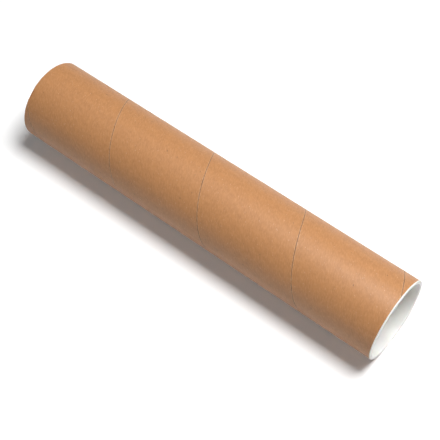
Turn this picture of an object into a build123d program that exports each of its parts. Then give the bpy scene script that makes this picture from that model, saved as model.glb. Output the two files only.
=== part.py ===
from build123d import *
import math
import os

# ---------------------------------------------------------------------------
# Spirally wound kraft mailing tube with one plug cap, standing on its open end.
# Millimetres, +Z up along the bore, origin at the centre of the open cut end.
# ---------------------------------------------------------------------------

# Board tube
bore_diameter = 76.2
wall_thickness = 1.9
tube_length = 400.0

# Outer kraft ply, a strip wound on at a slant with a narrow gap between turns
ply_thickness = 0.35
seam_gap = 0.5
seam_pitch = 103.5
seam_angle_at_open_end = -68.5

# Seam cutter runs this far past each cut end
seam_run_out = 8.0

# Torn corner of the outer ply where the seam meets each cut end:
# angle of its middle, width round the tube, height along the tube, depth into the wall
open_end_tear_angle = -79.0
open_end_tear_width = 9.0
open_end_tear_height = 1.4
open_end_tear_depth = 0.8
cap_end_tear_angle = -126.0
cap_end_tear_width = 5.0
cap_end_tear_height = 1.2
cap_end_tear_depth = 0.5

# Plug cap, moulded in one piece: rim, skirt, floor and two grip beads
cap_clearance = 0.35
bead_clearance = 0.06
rim_diameter = 80.0
rim_thickness = 1.1
rim_edge_round = 0.45
plug_depth = 22.0
skirt_thickness = 1.0
floor_thickness = 1.2
skirt_lead_in = 0.7
bead_height = 1.6
bead_first_depth = 6.0
bead_second_depth = 13.0

# Sizes that follow
bore_radius = bore_diameter / 2
tube_radius = bore_radius + wall_thickness
skirt_radius = bore_radius - cap_clearance
bead_radius = bore_radius - bead_clearance
recess_radius = skirt_radius - skirt_thickness
cut_margin = 1.0

os.makedirs("parts", exist_ok=True)


# Path of the seam: a right-handed helix on the outside of the tube
seam_height = tube_length + 2 * seam_run_out
seam_start_angle = seam_angle_at_open_end - 360.0 * seam_run_out / seam_pitch
with BuildLine() as seam_path:
    with Locations(Location((0, 0, -seam_run_out), (0, 0, seam_start_angle))):
        Helix(pitch=seam_pitch, height=seam_height, radius=tube_radius)

# Section of the seam, square to the path, reaching one ply into the wall
seam_start = seam_path.wires()[0] @ 0
seam_heading = seam_path.wires()[0] % 0
seam_outward = Vector(seam_start.X, seam_start.Y, 0).normalized()
seam_plane = Plane(origin=seam_start, x_dir=seam_outward, z_dir=seam_heading)
with BuildSketch(seam_plane) as seam_section:
    Rectangle(2 * ply_thickness, seam_gap)

with BuildPart() as seam_cutter:
    sweep(sections=seam_section.sketch, path=seam_path.wires()[0], is_frenet=True)

# Tube: one board cylinder, bored through and cut square at both ends
with BuildPart() as mailing_tube:
    Cylinder(tube_radius, tube_length, align=(Align.CENTER, Align.CENTER, Align.MIN))
    Cylinder(
        bore_radius,
        tube_length,
        align=(Align.CENTER, Align.CENTER, Align.MIN),
        mode=Mode.SUBTRACT,
    )
    add(seam_cutter.part, mode=Mode.SUBTRACT)
    # Torn ply corner at the open end
    with Locations(Location((0, 0, 0), (0, 0, open_end_tear_angle))):
        with Locations((tube_radius - open_end_tear_depth, 0, -cut_margin)):
            Box(
                open_end_tear_depth + cut_margin,
                open_end_tear_width,
                open_end_tear_height + cut_margin,
                align=(Align.MIN, Align.CENTER, Align.MIN),
                mode=Mode.SUBTRACT,
            )
    # Torn ply corner at the capped end
    with Locations(Location((0, 0, tube_length), (0, 0, cap_end_tear_angle))):
        with Locations((tube_radius - cap_end_tear_depth, 0, cut_margin)):
            Box(
                cap_end_tear_depth + cut_margin,
                cap_end_tear_width,
                cap_end_tear_height + cut_margin,
                align=(Align.MIN, Align.CENTER, Align.MAX),
                mode=Mode.SUBTRACT,
            )
mailing_tube.part.label = "mailing_tube"
export_step(mailing_tube.part, "parts/mailing_tube.step")

# Plug cap: turned section of rim, skirt, floor and recess
rim_top = tube_length + rim_thickness
plug_bottom = tube_length - plug_depth
floor_top = plug_bottom + floor_thickness
rim_radius = rim_diameter / 2
with BuildPart() as plug_cap:
    with BuildSketch(Plane.XZ) as cap_section:
        with BuildLine():
            Polyline(
                (0, plug_bottom),
                (skirt_radius - skirt_lead_in, plug_bottom),
                (skirt_radius, plug_bottom + skirt_lead_in),
                (skirt_radius, tube_length),
                (rim_radius, tube_length),
                (rim_radius, rim_top),
                (recess_radius, rim_top),
                (recess_radius, floor_top),
                (0, floor_top),
                close=True,
            )
        make_face()
        rim_corners = cap_section.vertices().filter_by_position(
            Axis.X, rim_radius - 0.01, rim_radius + 0.01
        )
        fillet(rim_corners, rim_edge_round)
    revolve(axis=Axis.Z)
    # Grip beads round the skirt
    for bead_depth in (bead_first_depth, bead_second_depth):
        bead_middle = tube_length - bead_depth
        with BuildSketch(Plane.XZ):
            with BuildLine():
                Polyline(
                    (skirt_radius - skirt_thickness / 2, bead_middle - bead_height / 2),
                    (skirt_radius, bead_middle - bead_height / 2),
                    (bead_radius, bead_middle),
                    (skirt_radius, bead_middle + bead_height / 2),
                    (skirt_radius - skirt_thickness / 2, bead_middle + bead_height / 2),
                    close=True,
                )
            make_face()
        revolve(axis=Axis.Z)
plug_cap.part.label = "plug_cap"
export_step(plug_cap.part, "parts/plug_cap.step")
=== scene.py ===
import math

import bmesh
import bpy
from mathutils import Matrix, Vector, noise


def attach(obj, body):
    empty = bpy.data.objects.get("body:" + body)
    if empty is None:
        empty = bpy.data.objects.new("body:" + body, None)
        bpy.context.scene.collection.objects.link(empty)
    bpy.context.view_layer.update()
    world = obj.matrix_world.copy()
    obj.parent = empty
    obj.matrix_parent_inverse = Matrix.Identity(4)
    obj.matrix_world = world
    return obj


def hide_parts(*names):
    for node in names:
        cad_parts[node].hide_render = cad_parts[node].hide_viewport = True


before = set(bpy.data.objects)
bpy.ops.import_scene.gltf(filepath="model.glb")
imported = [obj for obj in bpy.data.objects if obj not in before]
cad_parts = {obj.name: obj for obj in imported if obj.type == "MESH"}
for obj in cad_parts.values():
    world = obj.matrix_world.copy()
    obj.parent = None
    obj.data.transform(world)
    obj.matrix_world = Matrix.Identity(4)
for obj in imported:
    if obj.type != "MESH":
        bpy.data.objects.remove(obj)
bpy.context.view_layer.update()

# ---------------------------------------------------------------------------
# Mailing tube. A kraft board tube wound from glued paper strips round a steel
# mandrel, sawn square at both ends. The last strip leaves one slanting butt
# seam up the outside, and its corners fray where the saw crosses that seam.
# ---------------------------------------------------------------------------

tube_radius = 0.0400
bore_radius = 0.0381
tube_length = 0.4000
seam_pitch = 0.1035
seam_angle = math.radians(-68.5)
seam_half_gap = 0.00026
seam_depth = 0.00030
edge_lift = 0.00009
edge_fade = 0.0007
board_set_in = 0.00012
board_room = 0.00006
turn_columns = 360
turns_below = 2
turns_above = 5
seam_slant = math.sin(math.atan2(2 * math.pi * tube_radius, seam_pitch))

# Distance up the tube from the seam, in metres, of each row of the strip
strip_rows = (
    0.0, 0.00018, 0.00030, 0.00048, 0.00085, 0.0017, 0.0040, 0.0100, 0.0220, 0.0380,
    0.0518, 0.0655, 0.0815, 0.0935, 0.0995, 0.1018, 0.10265, 0.10302, 0.10320, 0.10332,
)

# Rings added near each sawn end, and how far along the wall they are looked for
end_rings = (0.00012, 0.0004, 0.0009, 0.0015, 0.0024)
end_reach = 0.012
saw_zone = 0.003
saw_round = 0.00012
saw_fuzz = 0.00005
fuzz_fade = 0.0008

# Edges of the paper layers on the sawn end, from the outside in
layer_radii = (0.0394, 0.0391, 0.0388, 0.0385, 0.03822, bore_radius)
layer_step = 0.00004
layer_rough = 0.00002
same_height = 1e-5

# Torn ply corners: middle angle, half width as an angle, height, depth
open_end_tear = (math.radians(-79.0), math.radians(7.5), 0.0016, 0.0011)
cap_end_tear = (math.radians(-126.0), math.radians(4.2), 0.0011, 0.0007)


def angle_between(a, b):
    return abs((a - b + math.pi) % (2 * math.pi) - math.pi)


def seam_profile(across, along):
    """Height of the outer ply near the seam, from the distance across the strip."""
    near = min(across, seam_pitch - across) * seam_slant
    wander = noise.noise(Vector((along * 90.0, 3.0, 0.0)))
    flutter = noise.noise(Vector((along * 420.0, 9.0, 2.0)))
    if near < seam_half_gap * (1.0 + 0.35 * wander):
        return -seam_depth
    upper_edge = across < seam_pitch / 2
    lift = edge_lift * (1.3 if upper_edge else 0.7)
    lift *= 1.0 + 0.7 * wander + 0.5 * flutter
    return lift * math.exp(-(near - seam_half_gap) / edge_fade)


def tear_profile(angle, from_end, tear):
    """How far the wall is torn back near one cut end."""
    middle, half_width, height, depth = tear
    off = angle_between(angle, middle) / half_width
    rag = 0.35 * noise.noise(Vector((angle * 40.0, from_end * 900.0, 5.0)))
    reach = max(0.0, 1.0 - off ** 2 + rag) * max(0.0, 1.0 - from_end / height)
    return -depth * min(1.0, 1.8 * reach)


def shade_smooth(mesh):
    mesh.shade_smooth()
    mesh.set_sharp_from_angle(angle=math.radians(38))


def build_tube():
    bm = bmesh.new()
    strip = bm.loops.layers.uv.new("strip")
    rows = len(strip_rows)
    first = -turns_below * turn_columns
    last = turns_above * turn_columns
    verts = {}
    for i in range(first, last + turn_columns + 1):
        turn = 2 * math.pi * i / turn_columns
        for j, across in enumerate(strip_rows):
            z = seam_pitch * i / turn_columns + across
            angle = turn + seam_angle
            along = turn * tube_radius / seam_slant
            r = tube_radius - board_set_in + seam_profile(across, along)
            r = min(r, tube_radius - board_room)
            verts[i, j] = bm.verts.new((r * math.cos(angle), r * math.sin(angle), z))
    for i in range(first, last):
        for j in range(rows):
            if j + 1 < rows:
                ring = [(i, j), (i + 1, j), (i + 1, j + 1), (i, j + 1)]
                cross = [strip_rows[j], strip_rows[j], strip_rows[j + 1], strip_rows[j + 1]]
            else:
                step = i + turn_columns
                ring = [(i, j), (i + 1, j), (step + 1, 0), (step, 0)]
                cross = [strip_rows[j], strip_rows[j], seam_pitch, seam_pitch]
            face = bm.faces.new([verts[k] for k in ring])
            for loop, column, across in zip(face.loops, (i, i + 1, i + 1, i), cross):
                along = 2 * math.pi * column / turn_columns * tube_radius / seam_slant
                loop[strip].uv = (along, across)
    for v in [v for v in bm.verts if not v.link_faces]:
        bm.verts.remove(v)
    everything = bm.verts[:] + bm.edges[:] + bm.faces[:]
    bmesh.ops.bisect_plane(
        bm, geom=everything, plane_co=(0, 0, 0), plane_no=(0, 0, -1), clear_outer=True
    )
    everything = bm.verts[:] + bm.edges[:] + bm.faces[:]
    bmesh.ops.bisect_plane(
        bm, geom=everything, plane_co=(0, 0, tube_length), plane_no=(0, 0, 1), clear_outer=True
    )
    # Extra rings near the cut ends, for the rounded saw edge and the torn corners
    for from_end in end_rings:
        for z in (from_end, tube_length - from_end):
            near = [f for f in bm.faces if abs(f.calc_center_median().z - z) < end_reach]
            parts = {e for f in near for e in f.edges} | {v for f in near for v in f.verts}
            bmesh.ops.bisect_plane(
                bm, geom=near + list(parts), plane_co=(0, 0, z), plane_no=(0, 0, 1)
            )
    for v in bm.verts:
        angle = math.atan2(v.co.y, v.co.x)
        change = 0.0
        for from_end, tear in (
            (v.co.z, open_end_tear),
            (tube_length - v.co.z, cap_end_tear),
        ):
            if from_end < saw_zone:
                change += tear_profile(angle, from_end, tear)
                change -= saw_round * math.exp(-from_end / saw_round)
                fuzz = noise.noise(Vector((angle * 60.0, from_end * 700.0, 1.0)))
                change += saw_fuzz * fuzz * math.exp(-from_end / fuzz_fade)
        r = math.hypot(v.co.x, v.co.y)
        v.co.x *= (r + change) / r
        v.co.y *= (r + change) / r
    # Cut faces: rings from the outside in, one per layer of paper, then the bore
    bores = []
    for z_end, inward in ((0.0, 1.0), (tube_length, -1.0)):
        edge = [
            e for e in bm.edges
            if e.is_boundary and all(abs(v.co.z - z_end) < same_height for v in e.verts)
        ]
        for k, radius in enumerate(layer_radii):
            made = bmesh.ops.extrude_edge_only(bm, edges=edge)["geom"]
            edge = [g for g in made if isinstance(g, bmesh.types.BMEdge)]
            for v in {v for e in edge for v in e.verts}:
                angle = math.atan2(v.co.y, v.co.x)
                rough = noise.noise(Vector((angle * 55.0, k * 3.1, z_end * 50.0)))
                depth = 0.0 if z_end == 0.0 else layer_rough
                if 0 < k < len(layer_radii) - 1:
                    depth += layer_step * (k % 2) + layer_rough * (rough + 1.0)
                v.co.x = radius * math.cos(angle)
                v.co.y = radius * math.sin(angle)
                v.co.z = z_end + inward * depth
            edge = [e for e in edge if e.is_boundary]
        bores.append(edge)
    bmesh.ops.bridge_loops(bm, edges=bores[0] + bores[1])
    bmesh.ops.recalc_face_normals(bm, faces=bm.faces)
    mesh = bpy.data.meshes.new("mailing_tube_board")
    bm.to_mesh(mesh)
    bm.free()
    shade_smooth(mesh)
    return mesh


tube = bpy.data.objects.new("mailing_tube_board", build_tube())
bpy.context.scene.collection.objects.link(tube)


class Nodes:
    """Short way to place and join shader nodes in one tree."""

    def __init__(self, tree):
        self.tree = tree

    def add(self, kind, values=None, **settings):
        node = self.tree.nodes.new(kind)
        for key, value in settings.items():
            setattr(node, key, value)
        for key, value in (values or {}).items():
            self.feed(value, node.inputs[key])
        return node

    def feed(self, value, socket):
        if isinstance(value, bpy.types.NodeSocket):
            self.tree.links.new(value, socket)
        else:
            socket.default_value = value

    def math(self, operation, a, b=0.0):
        return self.add("ShaderNodeMath", {0: a, 1: b}, operation=operation).outputs[0]

    def ramp(self, value, low, high):
        node = self.add("ShaderNodeMapRange", {0: value, 1: low, 2: high})
        return node.outputs[0]

    def mix(self, factor, a, b):
        node = self.tree.nodes.new("ShaderNodeMix")
        node.data_type = "RGBA"
        for key, value in ((0, factor), (6, a), (7, b)):
            self.feed(value, node.inputs[key])
        return node.outputs[2]

    def noise(self, vector, scale, detail=3.0, roughness=0.55):
        values = {"Vector": vector, "Scale": scale, "Detail": detail, "Roughness": roughness}
        return self.add("ShaderNodeTexNoise", values).outputs[0]


def new_group(name, inputs, outputs):
    tree = bpy.data.node_groups.new(name, "ShaderNodeTree")
    for label, kind, value in inputs:
        socket = tree.interface.new_socket(label, in_out="INPUT", socket_type=kind)
        if value is not None:
            socket.default_value = value
    for label, kind in outputs:
        tree.interface.new_socket(label, in_out="OUTPUT", socket_type=kind)
    n = Nodes(tree)
    return tree, n, n.add("NodeGroupInput").outputs, n.add("NodeGroupOutput").inputs


def new_material(name):
    material = bpy.data.materials.new(name)
    material.use_nodes = True
    material.node_tree.nodes.clear()
    n = Nodes(material.node_tree)
    surface = n.add("ShaderNodeBsdfPrincipled")
    out = n.add("ShaderNodeOutputMaterial")
    n.tree.links.new(surface.outputs[0], out.inputs[0])
    return material, n, surface


def paper_fibre_group():
    """Fibres, cloudy formation and flecks of unbleached paper, laid along U."""
    tree, n, give, take = new_group(
        "paper_fibre",
        [("Vector", "NodeSocketVector", None), ("Fleck Amount", "NodeSocketFloat", 1.0)],
        [("Streaks", "NodeSocketFloat"), ("Clouds", "NodeSocketFloat"),
         ("Dark Flecks", "NodeSocketFloat"), ("Pale Flecks", "NodeSocketFloat"),
         ("Height", "NodeSocketFloat")],
    )
    at = give["Vector"]
    long_way = n.add("ShaderNodeMapping", {0: at, 3: (260.0, 1900.0, 1900.0)}).outputs[0]
    short_way = n.add("ShaderNodeMapping", {0: at, 3: (620.0, 1250.0, 1250.0)}).outputs[0]
    fine = n.noise(long_way, 1.0, 4.0, 0.65)
    coarse = n.noise(short_way, 0.45, 3.0, 0.6)
    n.feed(n.math("ADD", n.math("MULTIPLY", fine, 0.6), n.math("MULTIPLY", coarse, 0.4)),
           take["Streaks"])
    n.feed(n.noise(at, 150.0, 4.0, 0.6), take["Clouds"])
    speck_at = n.add("ShaderNodeMapping", {0: at, 3: (330.0, 560.0, 560.0)}).outputs[0]
    dark = n.add("ShaderNodeTexVoronoi", {"Vector": speck_at, "Scale": 0.55, "Randomness": 1.0})
    dark_draw = n.add("ShaderNodeSeparateColor", {0: dark.outputs["Color"]}).outputs[0]
    chosen = n.ramp(dark_draw, 0.90, 0.99)
    spot = n.ramp(dark.outputs["Distance"], 0.22, 0.06)
    n.feed(n.math("MULTIPLY", n.math("MULTIPLY", spot, chosen), give["Fleck Amount"]),
           take["Dark Flecks"])
    pale = n.add("ShaderNodeTexVoronoi", {"Vector": speck_at, "Scale": 1.4, "Randomness": 1.0})
    pale_draw = n.add("ShaderNodeSeparateColor", {0: pale.outputs["Color"]}).outputs[1]
    picked = n.ramp(pale_draw, 0.86, 0.98)
    dot = n.ramp(pale.outputs["Distance"], 0.30, 0.10)
    n.feed(n.math("MULTIPLY", n.math("MULTIPLY", dot, picked), give["Fleck Amount"]),
           take["Pale Flecks"])
    n.feed(n.math("ADD", fine, n.math("MULTIPLY", coarse, 0.8)), take["Height"])
    return tree


def kraft_material():
    material, n, surface = new_material("kraft_board")
    strip = n.add("ShaderNodeUVMap", uv_map="strip").outputs[0]
    fibre = n.add("ShaderNodeGroup", node_tree=paper_fibre_group())
    n.feed(strip, fibre.inputs["Vector"])
    kraft = (0.490, 0.225, 0.086, 1.0)
    deep = (0.430, 0.196, 0.076, 1.0)
    warm = (0.560, 0.280, 0.120, 1.0)
    colour = n.mix(n.ramp(fibre.outputs["Clouds"], 0.35, 0.68), deep, kraft)
    colour = n.mix(n.ramp(fibre.outputs["Streaks"], 0.46, 0.66), colour, warm)
    bark = (0.12, 0.07, 0.04, 1)
    straw = (0.80, 0.62, 0.44, 1)
    edge_highlight_colour = (0.84, 0.62, 0.42, 1)
    groove_shade_colour = (0.16, 0.085, 0.04, 1)
    colour = n.mix(n.math("MULTIPLY", fibre.outputs["Dark Flecks"], 0.75), colour, bark)
    colour = n.mix(n.math("MULTIPLY", fibre.outputs["Pale Flecks"], 0.45), colour, straw)
    # Painted highlight: paper painted pale along the raised edge beside the seam, where light
    # catches it; painted shade: a dark line in the seam's groove
    across = n.add("ShaderNodeSeparateXYZ", {0: strip}).outputs[1]
    other = n.math("SUBTRACT", seam_pitch, across)
    near = n.math("MULTIPLY", n.math("MINIMUM", across, other), seam_slant)
    # Painted highlight: a pale band on the raised edge next to the seam, masked in patches
    edge_highlight = n.ramp(near, 0.00125, 0.00035)
    patchy = n.ramp(n.noise(strip, 330.0), 0.38, 0.60)
    colour = n.mix(n.math("MULTIPLY", n.math("MULTIPLY", edge_highlight, patchy), 0.30), colour, edge_highlight_colour)
    # Painted shade: the groove of the seam is darkened in its colour, where shadow falls inside it
    gap = n.ramp(near, 0.00034, 0.00022)
    colour = n.mix(n.math("MULTIPLY", gap, 0.85), colour, groove_shade_colour)
    n.feed(colour, surface.inputs["Base Color"])
    n.feed(n.add("ShaderNodeMapRange", {0: fibre.outputs["Streaks"], 3: 0.56, 4: 0.45}).outputs[0],
           surface.inputs["Roughness"])
    surface.inputs["IOR"].default_value = 1.5
    surface.inputs["Sheen Weight"].default_value = 0.03
    surface.inputs["Sheen Roughness"].default_value = 0.5
    bump = n.add("ShaderNodeBump", {"Strength": 0.35, "Distance": 0.00012,
                                    "Height": fibre.outputs["Height"]})
    n.feed(bump.outputs[0], surface.inputs["Normal"])
    return material


tube.data.materials.append(kraft_material())
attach(tube, "tube")
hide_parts("mailing_tube")

# ---------------------------------------------------------------------------
# Plug cap. One injection moulding in white polyethylene: a flat rim as wide as
# the tube, a recessed cup that pushes into the bore, and two low grip beads.
# ---------------------------------------------------------------------------

rim_radius = 0.0400
rim_thickness = 0.0011
skirt_radius = 0.03775
bead_radius = 0.03804
recess_radius = 0.03675
plug_depth = 0.0220
floor_thickness = 0.0012
foot_round = 0.0009
bead_depths = (0.013, 0.006)
bead_half_height = 0.0009
crown_half_height = 0.0002
crown_drop = 0.00008
seat_gap = 0.00002
rim_under_round = 0.0002
rim_edge_round = 0.00055
mouth_round = 0.0007
floor_round = 0.0018
ridge_height = 0.00025
gate_height = 0.0001
gate_dimple = 0.00015
on_axis = 1e-7


def arc(centre, radius, start, end, steps):
    """Points of a rounded corner in the cap's section, as radius and height."""
    points = []
    for k in range(steps + 1):
        turn = math.radians(start + (end - start) * k / steps)
        points.append((centre[0] + radius * math.cos(turn), centre[1] + radius * math.sin(turn)))
    return points


def cap_section():
    top = tube_length + rim_thickness
    bottom = tube_length - plug_depth
    floor = bottom + floor_thickness
    line = [(0.0, bottom), (0.012, bottom), (0.0215, bottom)]
    line += arc((skirt_radius - foot_round, bottom + foot_round), foot_round, -90, 0, 5)
    for depth in bead_depths:
        middle = tube_length - depth
        crown = bead_radius - crown_drop
        line += [(skirt_radius, middle - bead_half_height), (crown, middle - crown_half_height)]
        line += [(bead_radius, middle), (crown, middle + crown_half_height)]
        line += [(skirt_radius, middle + bead_half_height)]
    seat = tube_length + seat_gap
    line += [(skirt_radius, seat), (rim_radius - 2 * rim_under_round, seat)]
    under = (rim_radius - rim_under_round, seat + rim_under_round)
    line += arc(under, rim_under_round, -90, 0, 3)
    line += arc((rim_radius - rim_edge_round, top - rim_edge_round), rim_edge_round, 0, 90, 7)
    line += arc((recess_radius + mouth_round, top - mouth_round), mouth_round, 90, 180, 7)
    # Slight draft on the recess wall, so the moulding leaves its tool
    line += [(recess_radius - 0.00005, top - 0.006), (recess_radius - 0.0001, floor + 0.006)]
    line += arc((recess_radius - 0.0019, floor + floor_round), floor_round, 0, -90, 7)
    # Low ridge round the floor, then the moulding gate in the middle
    ridge = floor + ridge_height
    line += [(0.0300, floor), (0.0296, ridge), (0.0288, ridge), (0.0284, floor)]
    gate = floor + gate_height
    dimple = floor - gate_dimple
    line += [(0.0150, floor + 0.00005), (0.0030, gate)]
    line += [(0.0026, dimple), (0.0011, dimple), (0.0008, gate), (0.0, gate)]
    return line


def turned_mesh(name, section, columns):
    bm = bmesh.new()
    rings = []
    for radius, height in section:
        if radius < on_axis:
            rings.append([bm.verts.new((0.0, 0.0, height))])
            continue
        ring = []
        for k in range(columns):
            turn = 2 * math.pi * k / columns
            ring.append(bm.verts.new((radius * math.cos(turn), radius * math.sin(turn), height)))
        rings.append(ring)
    for low, high in zip(rings, rings[1:]):
        for k in range(columns):
            m = (k + 1) % columns
            corners = [low[k % len(low)], low[m % len(low)]]
            corners += [high[m % len(high)], high[k % len(high)]]
            bm.faces.new(list(dict.fromkeys(corners)))
    bmesh.ops.recalc_face_normals(bm, faces=bm.faces)
    mesh = bpy.data.meshes.new(name)
    bm.to_mesh(mesh)
    bm.free()
    shade_smooth(mesh)
    return mesh


def white_plastic_material():
    material, n, surface = new_material("white_plastic")
    at = n.add("ShaderNodeTexCoord").outputs["Object"]
    mottle = n.noise(at, 60.0, 3.0)
    colour = n.mix(n.ramp(mottle, 0.35, 0.7), (0.80, 0.79, 0.76, 1), (0.86, 0.85, 0.82, 1))
    scuffs_at = n.add("ShaderNodeMapping", {0: at, 3: (900.0, 900.0, 160.0)}).outputs[0]
    scuffs = n.ramp(n.noise(scuffs_at, 1.0, 5.0, 0.7), 0.60, 0.78)
    colour = n.mix(n.math("MULTIPLY", scuffs, 0.18), colour, (0.62, 0.57, 0.50, 1))
    n.feed(colour, surface.inputs["Base Color"])
    n.feed(n.add("ShaderNodeMapRange", {0: scuffs, 3: 0.38, 4: 0.60}).outputs[0],
           surface.inputs["Roughness"])
    surface.inputs["IOR"].default_value = 1.51
    surface.inputs["Subsurface Weight"].default_value = 0.15
    surface.inputs["Subsurface Scale"].default_value = 0.0012
    bump = n.add("ShaderNodeBump", {"Strength": 0.12, "Distance": 0.0001,
                                    "Height": n.noise(at, 1500.0, 3.0)})
    n.feed(bump.outputs[0], surface.inputs["Normal"])
    return material


cap_columns = 192
cap_mesh = turned_mesh("plug_cap_moulding", cap_section(), cap_columns)
cap = bpy.data.objects.new("plug_cap_moulding", cap_mesh)
bpy.context.scene.collection.objects.link(cap)
cap.data.materials.append(white_plastic_material())
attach(cap, "cap")
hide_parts("plug_cap")

# ---------------------------------------------------------------------------
# Stage. The tube is laid against a white sheet that touches its side, so the
# sheet reads as the table under a lying tube. One large soft lamp hangs above
# the sheet and a weak one fills from the open side.
# ---------------------------------------------------------------------------

sheet_normal = Vector((-0.3664, -0.9304, 0.0)).normalized()
sheet_gap = 0.00025
sheet_side = 4.0
sheet_glow = 0.12
sheet_touch = -sheet_normal * (tube_radius + sheet_gap)


def facing(direction):
    """Rotation whose Z looks along direction, with X level."""
    z = direction.normalized()
    x = Vector((0, 0, 1)).cross(z).normalized()
    y = z.cross(x)
    return Matrix((x, y, z)).transposed()


def white_sheet():
    mesh = bpy.data.meshes.new("white_sheet")
    corners = [(x * sheet_side, y * sheet_side, 0) for x, y in ((-1, -1), (1, -1), (1, 1), (-1, 1))]
    mesh.from_pydata(corners, [], [(0, 1, 2, 3)])
    sheet = bpy.data.objects.new("white_sheet", mesh)
    place = facing(sheet_normal).to_4x4()
    place.translation = sheet_touch + Vector((0, 0, tube_length / 2))
    sheet.matrix_world = place
    material, n, surface = new_material("white_sheet")
    surface.inputs["Base Color"].default_value = (0.93, 0.93, 0.93, 1)
    surface.inputs["Roughness"].default_value = 0.9
    surface.inputs["Specular IOR Level"].default_value = 0.0
    glow = n.add("ShaderNodeEmission", {"Color": (1, 1, 1, 1)})
    seen = n.add("ShaderNodeLightPath").outputs["Is Camera Ray"]
    n.feed(n.math("MULTIPLY", seen, sheet_glow), glow.inputs["Strength"])
    lit = n.add("ShaderNodeAddShader", {0: surface.outputs[0], 1: glow.outputs[0]})
    clear = n.add("ShaderNodeBsdfTransparent")
    behind = n.add("ShaderNodeNewGeometry").outputs["Backfacing"]
    both = n.add("ShaderNodeMixShader", {0: behind, 1: lit.outputs[0], 2: clear.outputs[0]})
    out = next(x for x in n.tree.nodes if x.type == "OUTPUT_MATERIAL")
    n.tree.links.new(both.outputs[0], out.inputs[0])
    mesh.materials.append(material)
    bpy.context.scene.collection.objects.link(sheet)
    return sheet


def soft_lamp(name, direction, distance, size, power):
    data = bpy.data.lights.new(name, "AREA")
    data.shape = "SQUARE"
    data.size = size
    data.energy = power
    lamp = bpy.data.objects.new(name, data)
    place = facing(direction).to_4x4()
    place.translation = Vector((0, 0, tube_length / 2)) + direction.normalized() * distance
    lamp.matrix_world = place
    bpy.context.scene.collection.objects.link(lamp)
    return lamp


def around(angle, rise):
    """Direction to a lamp, from its angle round the tube in degrees and its rise."""
    turn = math.radians(angle)
    return Vector((math.cos(turn), math.sin(turn), rise))


white_sheet()
soft_lamp("key_lamp", around(-124.0, 0.25), distance=1.6, size=0.6, power=33.0)
soft_lamp("fill_lamp", around(-75.0, -0.5), distance=2.4, size=1.6, power=0.6)

world = bpy.data.worlds.new("world")
bpy.context.scene.world = world
world.use_nodes = True
sky = Nodes(world.node_tree)
world.node_tree.nodes.clear()
seen = sky.add("ShaderNodeLightPath").outputs["Is Camera Ray"]
plain = sky.add("ShaderNodeBackground", {"Color": (1, 1, 1, 1), "Strength": 0.07})
white = sky.add("ShaderNodeBackground", {"Color": (1, 1, 1, 1), "Strength": 1.0})
choice = sky.add("ShaderNodeMixShader", {0: seen, 1: plain.outputs[0], 2: white.outputs[0]})
sky.add("ShaderNodeOutputWorld", {"Surface": choice.outputs[0]})

camera_data = bpy.data.cameras.new("camera")
camera_data.lens = 89.3
camera_data.sensor_width = 36.0
camera = bpy.data.objects.new("camera", camera_data)
looking = Vector((0.01015, 0.93843, -0.34533)).normalized()
top = Vector((-0.84036, -0.17916, -0.51156)).normalized()
right = looking.cross(top).normalized()
camera_place = Matrix((right, top, -looking)).transposed().to_4x4()
camera_place.translation = Vector((0.0, -0.9385, 0.5612))
camera.matrix_world = camera_place
bpy.context.scene.collection.objects.link(camera)
bpy.context.scene.camera = camera
bpy.context.scene.view_settings.view_transform = "Standard"
